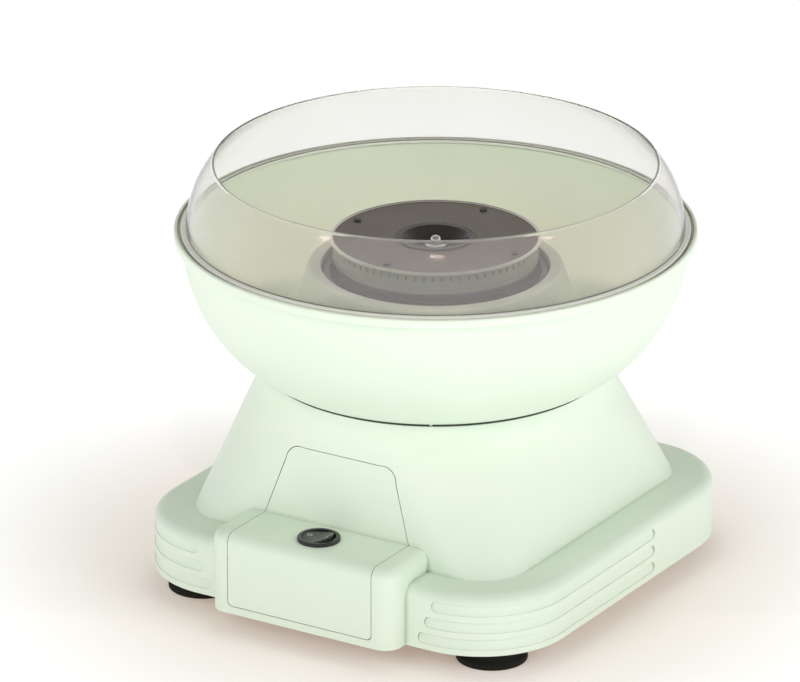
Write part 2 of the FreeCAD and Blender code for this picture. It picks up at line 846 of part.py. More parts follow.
motor_plate_bottom = d.can_top
motor_plate_top = motor_plate_bottom + d.motor_plate_thick
mount_height = d.deck_top - d.wall - motor_plate_top
motor_screw_places = [(12.5, 0), (-12.5, 0)]
motor_plate = tube("motor_plate", d.mount_radius, d.motor_plate_radius, motor_plate_bottom,
                   motor_plate_top)
sketch = new_sketch(motor_plate, offset=motor_plate_bottom)
circles(sketch, mount_places + motor_screw_places, d.screw_radius)
pocket(motor_plate, sketch, d.motor_plate_thick)
lead_hole = polar(27, -60)
sketch = new_sketch(motor_plate, offset=motor_plate_bottom)
circles(sketch, [lead_hole], 4.5)
pocket(motor_plate, sketch, d.motor_plate_thick)
subpart(motor_plate, "motor_plate")
subpart(group(*[cut(cylinder(d.mount_radius, mount_height, x, y, motor_plate_top),
                    cylinder(d.screw_radius, mount_height, x, y, motor_plate_top))
                for x, y in mount_places]), "rubber_mounts")
subpart(group(*[screw(x, y, motor_plate_bottom, 3.2, 2, d.screw_radius,
                      d.motor_plate_thick + mount_height + d.wall, down=False)
                for x, y in mount_places]), "mount_screws")
subpart(group(*[screw(x, y, motor_plate_top, 2.7, 1.8, d.screw_radius, d.motor_plate_thick + 2)
                for x, y in motor_screw_places]), "motor_screws")

can = turned("can", [
    (d.bush_radius, d.can_top - 2),
    (d.can_radius - d.can_wall, d.can_top - 2),
    (d.can_radius - d.can_wall, d.can_bottom),
    (d.can_radius, d.can_bottom),
    (d.can_radius, d.can_top),
    (d.mount_radius, d.can_top),
    (d.mount_radius, d.can_top + 3.3),
    (d.bush_radius, d.can_top + 3.3),
])
round_edges(can, 0.8, circle_at(d.can_radius, d.can_top))
sketch = new_sketch(can, offset=d.can_top - 2)
circles(sketch, motor_screw_places, d.screw_radius)
pocket(can, sketch, 2)
subpart(can, "motor_can")
bush_bore = d.shaft_radius + d.run_gap
subpart(tube("upper_bush", bush_bore, d.bush_radius, d.can_top - 4, d.can_top + 3.3), "upper_bush")
subpart(tube("lower_bush", bush_bore, d.bush_radius, d.can_bottom - 10, d.can_bottom - 4), "lower_bush")

end_cap = turned("end_cap", [
    (d.bush_radius, d.can_bottom - 10),
    (d.bush_radius + 3, d.can_bottom - 10),
    (d.bush_radius + 3, d.can_bottom - 3.7),
    (d.can_radius, d.can_bottom - 3.7),
    (d.can_radius, d.can_bottom),
    (d.can_radius - d.can_wall, d.can_bottom),
    (d.can_radius - d.can_wall, d.can_bottom + 4),
    (d.can_radius - d.can_wall - 2, d.can_bottom + 4),
    (d.can_radius - d.can_wall - 2, d.can_bottom - 1.5),
    (d.bush_radius, d.can_bottom - 1.5),
])
subpart(end_cap, "motor_end_cap")
subpart(group(*[box(7, 3.6, 5.6, 8.4 * side, 0, d.can_bottom - 1.5) for side in (-1, 1)]), "brushes")
subpart(group(*[box(0.8, 4.8, 8, 11 * side, 0, d.can_bottom - 11.7) for side in (-1, 1)]),
        "motor_terminals")

MAGNET_DEGREES = 130
magnets = []
for start in (-MAGNET_DEGREES / 2, 180 - MAGNET_DEGREES / 2):
    outside = cylinder(d.can_radius - d.can_wall, d.core_height + 4, 0, 0, d.core_bottom - 2)
    outside.Angle = MAGNET_DEGREES
    turn(outside, start)
    magnets.append(cut(outside, cylinder(d.magnet_bore, d.core_height + 6, 0, 0, d.core_bottom - 3)))
subpart(group(*magnets), "motor_magnets")


# Rotor: shaft, armature, commutator, fan and the pin that drives the head

shaft_top = d.disc_top - 7
subpart(cut(cylinder(d.shaft_radius, shaft_top - d.fan_bottom, 0, 0, d.fan_bottom),
            turn(cylinder(d.drive_pin_radius, 8, 0, 4, d.pin_height), 90, (1, 0, 0))), "rotor_shaft")
subpart(turn(cylinder(d.drive_pin_radius, 12.6, 0, 6.3, d.pin_height), 90, (1, 0, 0)), "drive_pin")

SLOTS = 5
coil_radius = 2.9
coil_circle = 8.6
core = tube("core", d.shaft_radius, d.core_radius, d.core_bottom, d.core_bottom + d.core_height)
sketch = new_sketch(core, offset=d.core_bottom)
outline(sketch, [(coil_circle, -0.7), (d.core_radius + 1, -0.7), (d.core_radius + 1, 0.7),
                 (coil_circle, 0.7)])
slit = pocket(core, sketch, d.core_height)
repeat_round(core, slit, SLOTS)
coil_places = [polar(coil_circle, 360 / SLOTS * n) for n in range(SLOTS)]
core_slotted = cut(core, *[cylinder(coil_radius, d.core_height, x, y, d.core_bottom)
                           for x, y in coil_places])
subpart(core_slotted, "armature_core")
coils = [cylinder(coil_radius, d.core_height, x, y, d.core_bottom) for x, y in coil_places]
coil_ends = [tube("coil_end", 5.4, 11.4, low, low + 3.4)
             for low in (d.core_bottom - 3.4, d.core_bottom + d.core_height)]
subpart(fuse(*coils, *coil_ends), "armature_windings")
subpart(tube("commutator", d.shaft_radius, 4.5, d.can_bottom - 0.5, d.can_bottom + 6), "commutator")

fan = turned("fan", [
    (d.shaft_radius, d.fan_bottom),
    (5, d.fan_bottom),
    (5, d.fan_bottom + d.fan_height - 1.4),
    (d.fan_radius, d.fan_bottom + d.fan_height - 1.4),
    (d.fan_radius, d.fan_bottom + d.fan_height),
    (d.shaft_radius, d.fan_bottom + d.fan_height),
])
sketch = new_sketch(fan, offset=d.fan_bottom)
outline(sketch, [(4.5, -0.7), (d.fan_radius - 0.5, -4.5), (d.fan_radius - 0.5, -3.1), (4.5, 0.7)])
blade = pad(fan, sketch, d.fan_height - 1)
repeat_round(fan, blade, 9)
subpart(fan, "cooling_fan")


# Spinning head that drops on the shaft

disc_bottom = d.disc_top - d.disc_thick
hub_top = d.disc_top - 4.4
hub_bore_top = shaft_top + 0.4
hub = turned("hub", [
    (d.shaft_radius + d.run_gap, d.hub_bottom),
    (d.hub_radius + 1.5, d.hub_bottom),
    (d.hub_radius + 1.5, d.pan_bottom - 2),
    (d.hub_radius + 5, d.pan_bottom - 2),
    (d.hub_radius + 5, d.pan_bottom),
    (d.hub_radius, d.pan_bottom),
    (d.hub_radius, hub_top),
    (0, hub_top),
    (0, hub_bore_top),
    (d.shaft_radius + d.run_gap, hub_bore_top),
])
slot_top = d.pin_height + d.drive_pin_radius + 0.15
drive_slot = box(d.drive_pin_radius * 2 + 0.3, 20, slot_top - d.hub_bottom, 0, 0, d.hub_bottom)
subpart(cut(hub, drive_slot), "head_hub")

nut = turned("nut", [
    (0, hub_top),
    (4.2, hub_top),
    (4.2, hub_top + 2.2),
    (3.2, hub_top + 2.9),
    (1, d.disc_top + 1.2, 3.2, "right"),
    (0, d.disc_top + 1.2),
])
subpart(nut, "hub_nut")

funnel_floor = d.disc_top - 8.6
funnel = turned("funnel", [
    (d.hub_radius, funnel_floor),
    (13, funnel_floor),
    (d.funnel_radius - 2.4, disc_bottom),
    (d.funnel_radius - 1.6, disc_bottom),
    (d.funnel_radius - 1.6, d.disc_top),
    (d.funnel_radius, d.disc_top),
    (d.funnel_radius, d.disc_top + 0.6),
    (d.funnel_radius - 3.6, d.disc_top + 0.6),
    (12.4, funnel_floor + 1.3),
    (d.hub_radius, funnel_floor + 1.3),
])
sketch = new_sketch(funnel, offset=funnel_floor)
pill(sketch, 7, 11.6, -1.3, 1.3)
gate = pocket(funnel, sketch, 1.3)
repeat_round(funnel, gate, 8)
subpart(funnel, "sugar_funnel")

pan_floor = d.pan_bottom + d.pan_thick
pan = turned("pan", [
    (d.hub_radius, d.pan_bottom),
    (d.pan_radius - 8, d.pan_bottom),
    (d.pan_radius, d.pan_bottom + 8, 12, "right"),
    (d.pan_radius, d.mesh_bottom),
    (d.mesh_radius - d.mesh_thick, d.mesh_bottom),
    (d.mesh_radius - d.mesh_thick, d.pan_bottom + 8.6),
    (d.pan_radius - 8.6, pan_floor, 11, "left"),
    (d.hub_radius, pan_floor),
])
head_screw_places = [polar(d.head_screw_circle, 90 * n) for n in range(4)]
lug_bottom = d.pan_bottom + 6.5
pan_lugs = [cylinder(4.2, d.mesh_bottom - 0.3 - lug_bottom, x, y, lug_bottom)
            for x, y in head_screw_places]
pan_posts = [cylinder(3.1, disc_bottom - lug_bottom, x, y, lug_bottom) for x, y in head_screw_places]
post_holes = [cylinder(d.screw_radius, 6, x, y, disc_bottom - 6) for x, y in head_screw_places]
subpart(cut(fuse(pan, *pan_lugs, *pan_posts), *post_holes), "head_pan")

mesh_ring = tube("mesh_ring", d.mesh_radius - d.mesh_thick, d.mesh_radius, d.mesh_bottom, disc_bottom)
mesh_slot = new_sketch(mesh_ring, "YZ_Plane", offset=d.mesh_radius - 4)
slot_low = disc_bottom - 3.8
slot_high = disc_bottom - 1.4
outline(mesh_slot, [(-0.4, slot_low), (0.4, slot_low), (0.4, slot_high), (-0.4, slot_high)])
slot_cut = pocket(mesh_ring, mesh_slot, 8)
repeat_round(mesh_ring, slot_cut, 72)
subpart(mesh_ring, "head_mesh_ring")

disc = turned("disc", [
    (d.funnel_radius - 1.6, disc_bottom),
    (d.disc_radius - d.disc_bead, disc_bottom),
    (d.disc_radius - d.disc_bead, disc_bottom + d.disc_bead * 2, d.disc_bead + 0.01, "right"),
    (d.disc_radius - d.disc_bead * 2, d.disc_top),
    (d.funnel_radius - 1.6, d.disc_top),
])
sketch = new_sketch(disc, offset=disc_bottom)
circles(sketch, head_screw_places, d.screw_radius)
pocket(disc, sketch, d.disc_thick)
subpart(disc, "head_top_disc")
subpart(group(*[screw(x, y, d.disc_top, 2.1, 0.6, d.screw_radius, d.disc_thick + 5)
                for x, y in head_screw_places]), "head_screws")


# Bowl and splash guard

rim_bottom = d.rim_top - d.rim_height
bowl_foot_z = d.deck_top + d.bowl_gap
floor_top = d.bowl_floor + d.bowl_wall
collar_skirt = d.collar_bore + d.bowl_wall
ledge = d.rim_top - d.ledge_depth
bowl = turned("bowl", [
    (d.bowl_mouth, ledge),
    (d.bowl_mouth, rim_bottom),
    (d.bowl_turn - 1.3, floor_top, d.bowl_curve - d.bowl_wall, "left"),
    (d.collar_base, floor_top),
    (d.collar_lip + 1.6, d.collar_top - 2.6),
    (d.collar_lip, d.collar_top, 3.4, "right"),
    (d.collar_bore, d.collar_top),
    (d.collar_bore, d.collar_top - 14),
    (collar_skirt, d.collar_top - 14),
    (collar_skirt, d.collar_top - d.bowl_wall - 2),
    (d.collar_lip - 0.9, d.collar_top - d.bowl_wall - 2),
    (d.collar_base - 3, d.bowl_floor),
    (d.bowl_foot - d.bowl_wall, d.bowl_floor),
    (d.bowl_foot - d.bowl_wall, bowl_foot_z),
    (d.bowl_foot, bowl_foot_z),
    (d.bowl_foot, d.bowl_floor),
    (d.bowl_turn, d.bowl_floor),
    (d.bowl_side, rim_bottom, d.bowl_curve, "right"),
    (d.rim_radius, rim_bottom),
    (d.rim_radius, d.rim_top),
    (d.ledge_radius, d.rim_top),
    (d.ledge_radius, ledge),
])
round_edges(bowl, 1.2, circle_at(d.rim_radius, d.rim_top))
round_edges(bowl, 6, circle_at(d.collar_base, floor_top))
sketch = new_sketch(bowl, offset=bowl_foot_z)
circles(sketch, [(peg_x, peg_y)], d.peg_radius)
pad(bowl, sketch, d.bowl_floor - bowl_foot_z + 0.6)
subpart(bowl, "bowl")

guard_foot = ledge + 0.3
guard_base_top = guard_foot + d.guard_base
guard = turned("guard", [
    (d.guard_side - d.guard_wall, guard_foot),
    (d.guard_flange, guard_foot),
    (d.guard_flange, guard_base_top),
    (d.guard_side, guard_base_top),
    (d.guard_mouth, d.guard_top, d.guard_curve, "right"),
    (d.guard_mouth - d.guard_wall, d.guard_top),
    (d.guard_side - d.guard_wall, guard_base_top, d.guard_curve - d.guard_wall, "left"),
])
round_edges(guard, 0.6, circle_at(d.guard_mouth, d.guard_top))
subpart(guard, "splash_guard")


# Electrical parts on the bottom plate

block = box(18, 34, 13, d.block_x, d.block_y, plate_top)
block_screw_places = [(d.block_x, d.block_y + 10 * n) for n in (-1, 0, 1)]
subpart(cut(block, *[cylinder(2.6, 7, x, y, plate_top + 6) for x, y in block_screw_places]),
        "terminal_block")
subpart(group(*[cylinder(2.6, 5, x, y, plate_top + 6) for x, y in block_screw_places]),
        "block_screws")

board_corners = [(d.board_x + 19 * sx, d.board_y + 13 * sy) for sx in (-1, 1) for sy in (-1, 1)]
board_thick = 1.6
subpart(cut(box(46, 34, board_thick, d.board_x, d.board_y, d.board_bottom),
            *[cylinder(d.screw_radius, 3, x, y, d.board_bottom - 1) for x, y in board_corners]),
        "rectifier_board")
subpart(group(*[cut(cylinder(3, d.board_bottom - plate_top, x, y, plate_top),
                    cylinder(d.screw_radius, 8, x, y, plate_top + 1)) for x, y in board_corners]),
        "board_standoffs")
board_top = d.board_bottom + board_thick
subpart(group(*[screw(x, y, board_top, 2.7, 1.8, d.screw_radius, 5) for x, y in board_corners]),
        "board_screws")
subpart(box(15, 4.6, 11, d.board_x - 8, d.board_y + 9, board_top), "bridge_rectifier")
subpart(cylinder(6.5, 18, d.board_x + 9, d.board_y - 4, board_top), "filter_capacitor")


# Leads inside the housing: straight runs joined by arcs as large as the runs allow

def lead(points, radius):
    """A lead of round section along a route of points."""
    points = [FreeCAD.Vector(*point) for point in points]
    edges = []
    last = points[0]
    for before, corner, after in zip(points, points[1:], points[2:]):
        towards = (before - corner).normalize()
        onward = (after - corner).normalize()
        half_turn = (math.pi - towards.getAngle(onward)) / 2
        reach = 0.45 * min((before - corner).Length, (after - corner).Length)
        bend = reach / math.tan(half_turn)
        middle = (towards + onward).normalize()
        start = corner + towards * reach
        end = corner + onward * reach
        peak = corner + middle * (bend / math.cos(half_turn) - bend)
        edges.append(Part.LineSegment(last, start).toShape())
        edges.append(Part.Arc(start, peak, end).toShape())
        last = end
    edges.append(Part.LineSegment(last, points[-1]).toShape())
    path = Part.Wire(edges)
    section = Part.Wire(Part.Circle(points[0], points[1] - points[0], radius).toShape())
    shape = path.makePipeShell([section], True, False)
    expected = math.pi * radius * radius * path.Length
    print("lead", round(path.Length), "mm, volume ratio", round(shape.Volume / expected, 3))
    return shape


def leads(label, *routes):
    """A node of separate leads."""
    thing = doc.addObject("Part::Feature", label)
    thing.Shape = Part.Compound([lead(route, sheet.lead_radius) for route in routes])
    thing.Placement = FreeCAD.Placement()
    return subpart(thing, label)


block_low = plate_top.value + 4
block_right = sheet.block_x + 9
switch_end = sheet.box_top - sheet.switch_depth - 7
leads("switch_leads", *[
    [(x, -sheet.switch_y, switch_end), (x, -sheet.switch_y, 22), (x - 8, -104, 19.5 + step),
     (-34, -70, 19.5 + step), (side, -20, 19), (side - 1, end_y - 4, block_low),
     (block_right, end_y, block_low)]
    for x, step, side, end_y in ((-4.5, 0, -60, sheet.block_y - 11), (4.5, 4, -55, sheet.block_y - 3))])

pin_foot = sheet.tower_top - 6
leads("heater_leads", *[
    [(x, y, pin_foot), (x, y, pin_foot - 9), (hole_x + 3, hole_y - 1, 122 + shift), (hole_x, hole_y, 112),
     (hole_x, hole_y, 74), (hole_x - 6, hole_y - 8, 34), (-26, -44 + shift, 24 + shift),
     (-49 - shift, 10 + shift, 29 + shift), (-59 - shift / 2, sheet.block_y + 9 - shift, block_low),
     (block_right, sheet.block_y + 9 - shift, block_low)]
    for (x, y), (hole_x, hole_y), shift in (
        ((sheet.ring_radius, 0), (15.5, -23.4), 0),
        ((sheet.ring_radius * math.cos(math.radians(GAP_DEGREES)),
          -sheet.ring_radius * math.sin(math.radians(GAP_DEGREES))), (11.5, -23.4), 5))])

terminal_foot = sheet.can_bottom - 11.7
board_height = sheet.board_bottom + 0.8
leads("motor_leads",
      [(11.5, 0, terminal_foot + 2), (17, 0, terminal_foot + 2), (26, 6, terminal_foot + 2),
       (36, 16, 38), (40, 26, board_height + 3), (44, 34, board_height),
       (sheet.board_x - 23.1, 34, board_height)],
      [(-11.5, 0, terminal_foot + 2), (-17, 0, terminal_foot + 2), (-20, 14, terminal_foot + 3),
       (-6, 31, 44), (18, 42, 34), (34, 50, board_height + 2), (43, 50, board_height),
       (sheet.board_x - 23.1, 50, board_height)])


# Check everything, then write one file for each piece

doc.recompute()
for thing in doc.Objects:
    if "Invalid" in thing.State or "Error" in thing.State:
        raise RuntimeError(f"{thing.Name} ({thing.Label}) failed: {thing.State}")
os.makedirs("parts", exist_ok=True)
for thing in SUBPARTS:
    shape = thing.Shape
    if shape.isNull() or not shape.isValid() or not shape.Solids:
        raise RuntimeError(thing.Label + " has no valid solid")
    shape.exportStep(f"parts/{thing.Label}.step")
    print(thing.Label, len(shape.Solids), "solid(s)", round(shape.Volume), "mm3")
print(len(SUBPARTS), "sub-parts")
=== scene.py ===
import json
import math

import bmesh
import bpy
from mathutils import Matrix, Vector
from mathutils.bvhtree import BVHTree


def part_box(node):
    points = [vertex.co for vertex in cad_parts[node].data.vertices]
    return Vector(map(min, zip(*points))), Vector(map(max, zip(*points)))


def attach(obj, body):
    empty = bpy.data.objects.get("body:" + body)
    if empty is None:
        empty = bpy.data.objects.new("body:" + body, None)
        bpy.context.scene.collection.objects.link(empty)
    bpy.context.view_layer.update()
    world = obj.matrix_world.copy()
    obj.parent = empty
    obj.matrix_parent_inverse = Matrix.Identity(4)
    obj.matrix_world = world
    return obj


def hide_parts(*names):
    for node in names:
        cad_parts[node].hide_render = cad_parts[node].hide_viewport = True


# Cotton candy machine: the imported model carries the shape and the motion, and this script gives it
# its finish. Metres, +Z up, the switch box faces -Y, the spin axis is the Z axis.

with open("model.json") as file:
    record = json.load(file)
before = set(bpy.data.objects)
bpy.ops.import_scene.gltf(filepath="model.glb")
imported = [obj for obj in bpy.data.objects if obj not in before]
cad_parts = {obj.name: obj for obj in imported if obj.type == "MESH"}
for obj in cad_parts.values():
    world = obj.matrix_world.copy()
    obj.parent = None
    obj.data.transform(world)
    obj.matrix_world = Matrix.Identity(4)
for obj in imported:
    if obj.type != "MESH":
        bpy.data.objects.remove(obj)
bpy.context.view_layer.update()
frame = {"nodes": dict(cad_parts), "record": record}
scene = bpy.context.scene
MM = 0.001


# Camera at the viewing angle, looking slightly past the machine's axis

VIEW_AZIMUTH = math.radians(31.728)
VIEW_ELEVATION = math.radians(21.521)
VIEW_DISTANCE = 4.365
VIEW_SIDE = -0.01973
VIEW_HEIGHT = 0.134806
LENS = 352.93

right = Vector((math.cos(VIEW_AZIMUTH), math.sin(VIEW_AZIMUTH), 0))
back = Vector((math.sin(VIEW_AZIMUTH) * math.cos(VIEW_ELEVATION),
               -math.cos(VIEW_AZIMUTH) * math.cos(VIEW_ELEVATION),
               math.sin(VIEW_ELEVATION)))
camera_data = bpy.data.cameras.new("camera")
camera_data.lens = LENS
camera_data.sensor_width = 36
camera_data.clip_end = 50
camera = bpy.data.objects.new("camera", camera_data)
camera.location = right * VIEW_SIDE + Vector((0, 0, VIEW_HEIGHT)) + back * VIEW_DISTANCE
camera.rotation_euler = (-back).to_track_quat("-Z", "Y").to_euler()
scene.collection.objects.link(camera)
scene.camera = camera
scene.view_settings.view_transform = "Standard"


# Light: a pale room that is brighter at the sides than overhead, two large soft boxes and three
# warm spots for the inside of the bowl

SOFT_BOX_TARGET = Vector((0, 0, 0.12))
SPOT_RISE = 43
SPOT_DISTANCE = 2.0
SPOT_TARGET_RADIUS = 0.075
SPOT_TARGET_HEIGHT = 0.172


def direction(azimuth, elevation):
    """The unit vector towards an azimuth and elevation in degrees; azimuth 0 is the -Y side."""
    turn = math.radians(azimuth)
    rise = math.radians(elevation)
    return Vector((math.sin(turn) * math.cos(rise), -math.cos(turn) * math.cos(rise),
                   math.sin(rise)))


def make_world():
    world = bpy.data.worlds.new("room")
    world.use_nodes = True
    scene.world = world
    nodes = world.node_tree.nodes
    links = world.node_tree.links
    background = nodes["Background"]
    coordinates = nodes.new("ShaderNodeTexCoord")
    split = nodes.new("ShaderNodeSeparateXYZ")
    ramp = nodes.new("ShaderNodeValToRGB")
    links.new(coordinates.outputs["Generated"], split.inputs[0])
    links.new(split.outputs["Z"], ramp.inputs["Fac"])
    links.new(ramp.outputs["Color"], background.inputs["Color"])
    ramp.color_ramp.elements[0].position = 0.12
    ramp.color_ramp.elements[0].color = (0.98, 0.98, 1.0, 1)
    ramp.color_ramp.elements[1].position = 0.72
    ramp.color_ramp.elements[1].color = (0.215, 0.21, 0.19, 1)
    background.inputs["Strength"].default_value = 1.0


def soft_box(name, azimuth, elevation, distance, side, power):
    """An area light that faces the machine from an azimuth and elevation in degrees."""
    data = bpy.data.lights.new(name, "AREA")
    data.shape = "SQUARE"
    data.size = side
    data.energy = power
    light = bpy.data.objects.new(name, data)
    away = direction(azimuth, elevation)
    light.location = SOFT_BOX_TARGET + away * distance
    light.rotation_euler = (-away).to_track_quat("-Z", "Y").to_euler()
    light.visible_glossy = False
    light.visible_transmission = False
    scene.collection.objects.link(light)


def bowl_spot(name, azimuth, power):
    """A warm spot over the front rim that lights the far inside wall of the bowl."""
    data = bpy.data.lights.new(name, "SPOT")
    data.energy = power
    data.color = (1.0, 0.74, 0.68)
    data.spot_size = math.radians(7.0)
    data.spot_blend = 0.35
    data.shadow_soft_size = 0.12
    light = bpy.data.objects.new(name, data)
    turn = math.radians(azimuth)
    away = direction(azimuth, SPOT_RISE)
    target = Vector((-SPOT_TARGET_RADIUS * math.sin(turn), SPOT_TARGET_RADIUS * math.cos(turn),
                     SPOT_TARGET_HEIGHT))
    light.location = target + away * SPOT_DISTANCE
    light.rotation_euler = (-away).to_track_quat("-Z", "Y").to_euler()
    light.visible_glossy = False
    scene.collection.objects.link(light)


make_world()
soft_box("key_right", 85, 22, 2.6, 1.6, 15)
soft_box("fill_left", -5, 26, 2.8, 1.8, 13)
for spot_name, spot_azimuth, spot_power in (("spot_left", -35, 52), ("spot_middle", 32, 52),
                                            ("spot_right", 98, 50)):
    bowl_spot(spot_name, spot_azimuth, spot_power)


# Shader building blocks

def new_material(name):
    """A principled material: its node tree and its shader."""
    material = bpy.data.materials.new(name)
    material.use_nodes = True
    shader = material.node_tree.nodes["Principled BSDF"]
    return material, material.node_tree, shader


def link(tree, output, target):
    tree.links.new(output, target)


def object_coordinates(tree):
    return tree.nodes.new("ShaderNodeTexCoord").outputs["Object"]


def noise(tree, scale, detail=3.0, rough=0.55, stretch=None):
    """A noise value whose features are about 1 / scale metres across."""
    texture = tree.nodes.new("ShaderNodeTexNoise")
    texture.inputs["Scale"].default_value = scale
    texture.inputs["Detail"].default_value = detail
    texture.inputs["Roughness"].default_value = rough
    source = object_coordinates(tree)
    if stretch:
        mapping = tree.nodes.new("ShaderNodeMapping")
        mapping.inputs["Scale"].default_value = stretch
        link(tree, source, mapping.inputs["Vector"])
        source = mapping.outputs["Vector"]
    link(tree, source, texture.inputs["Vector"])
    return texture.outputs["Fac"]


def ring_noise(tree, scale):
    """Noise that only changes with the distance from the spin axis, like the marks of spinning."""
    split = tree.nodes.new("ShaderNodeSeparateXYZ")
    link(tree, object_coordinates(tree), split.inputs[0])
    squares = []
    for axis in ("X", "Y"):
        square = tree.nodes.new("ShaderNodeMath")
        square.operation = "MULTIPLY"
        link(tree, split.outputs[axis], square.inputs[0])
        link(tree, split.outputs[axis], square.inputs[1])
        squares.append(square.outputs[0])
    total = tree.nodes.new("ShaderNodeMath")
    link(tree, squares[0], total.inputs[0])
    link(tree, squares[1], total.inputs[1])
    radius = tree.nodes.new("ShaderNodeMath")
    radius.operation = "SQRT"
    link(tree, total.outputs[0], radius.inputs[0])
    texture = tree.nodes.new("ShaderNodeTexNoise")
    texture.noise_dimensions = "1D"
    texture.inputs["Scale"].default_value = scale
    texture.inputs["Detail"].default_value = 4
    link(tree, radius.outputs[0], texture.inputs["W"])
    return texture.outputs["Fac"]


def spread(tree, value, low, high):
    """A value from 0 to 1 remapped to a range."""
    remap = tree.nodes.new("ShaderNodeMapRange")
    remap.inputs["From Min"].default_value = 0.3
    remap.inputs["From Max"].default_value = 0.7
    remap.inputs["To Min"].default_value = low
    remap.inputs["To Max"].default_value = high
    link(tree, value, remap.inputs["Value"])
    return remap.outputs["Result"]


def tint(tree, value, dark, light):
    """A colour between two, chosen by a value."""
    mix = tree.nodes.new("ShaderNodeMix")
    mix.data_type = "RGBA"
    mix.inputs["A"].default_value = (*dark, 1)
    mix.inputs["B"].default_value = (*light, 1)
    link(tree, spread(tree, value, 0, 1), mix.inputs["Factor"])
    return mix.outputs["Result"]


def add_bump(tree, shader, value, depth, strength=1.0):
    bump = tree.nodes.new("ShaderNodeBump")
    bump.inputs["Distance"].default_value = depth
    bump.inputs["Strength"].default_value = strength
    link(tree, value, bump.inputs["Height"])
    link(tree, bump.outputs["Normal"], shader.inputs["Normal"])


def scaled(colour, factor):
    return tuple(min(1.0, part * factor) for part in colour)


def paint_gap_shade(tree, base, reach=0.006):
    """Painted shade: darken a colour where the surface runs into a narrow gap, where shade falls."""
    gap = tree.nodes.new("ShaderNodeAmbientOcclusion")
    gap.samples = 4
    gap.inputs["Distance"].default_value = reach
    open_part = tree.nodes.new("ShaderNodeMapRange")
    open_part.inputs["From Min"].default_value = 0.16
    open_part.inputs["From Max"].default_value = 0.42
    link(tree, gap.outputs["AO"], open_part.inputs["Value"])
    mix = tree.nodes.new("ShaderNodeMix")
    mix.data_type = "RGBA"
    # painted shade: the dark colour that narrow gaps are darkened towards
    mix.inputs["A"].default_value = (0.06, 0.08, 0.05, 1)
    link(tree, open_part.outputs["Result"], mix.inputs["Factor"])
    link(tree, base, mix.inputs["B"])
    return mix.outputs["Result"]


def moulded(name, colour, roughness, grain=1400, depth=0.00003, vary=0.04, cloud=14, specular=0.5,
            gap_painted_shade=False):
    """Moulded plastic or rubber: faint clouding, a fine grain, a roughness that wanders and, when
    asked, painted shade in narrow gaps.
    """
    material, tree, shader = new_material(name)
    shader.inputs["Specular IOR Level"].default_value = specular
    base = tint(tree, noise(tree, cloud), scaled(colour, 1 - vary), scaled(colour, 1 + vary))
    if gap_painted_shade:
        base = paint_gap_shade(tree, base)
    link(tree, base, shader.inputs["Base Color"])
    fine = noise(tree, grain, 2)
    link(tree, spread(tree, noise(tree, 60, 4), roughness * 0.9, roughness * 1.12),
         shader.inputs["Roughness"])
    add_bump(tree, shader, fine, depth)
    return material


def metal(name, colour, roughness, grain=900, depth=0.00002, vary=0.08, stretch=None, rings=0):
    """Metal with fine working marks, along one way or in rings round the spin axis."""
    material, tree, shader = new_material(name)
    shader.inputs["Metallic"].default_value = 1.0
    marks = ring_noise(tree, rings) if rings else noise(tree, grain, 4, 0.6, stretch)
    base = tint(tree, noise(tree, 25, 5), scaled(colour, 1 - vary), scaled(colour, 1 + vary))
    link(tree, base, shader.inputs["Base Color"])
    link(tree, spread(tree, marks, roughness * 0.8, roughness * 1.25), shader.inputs["Roughness"])
    add_bump(tree, shader, marks, depth)
    return material


def clear_plastic(name, clearness, low=(0.975, 0.965, 0.945), high=(0.99, 0.985, 0.965)):
    """Clear plastic with faint moulding waves and a trace of haze."""
    material, tree, shader = new_material(name)
    shader.inputs["Transmission Weight"].default_value = clearness
    shader.inputs["IOR"].default_value = 1.38
    base = tint(tree, noise(tree, 9, 2), low, high)
    link(tree, base, shader.inputs["Base Color"])
    link(tree, spread(tree, noise(tree, 18, 3), 0.01, 0.05), shader.inputs["Roughness"])
    add_bump(tree, shader, noise(tree, 12, 2), 0.0001, 0.4)
    return material


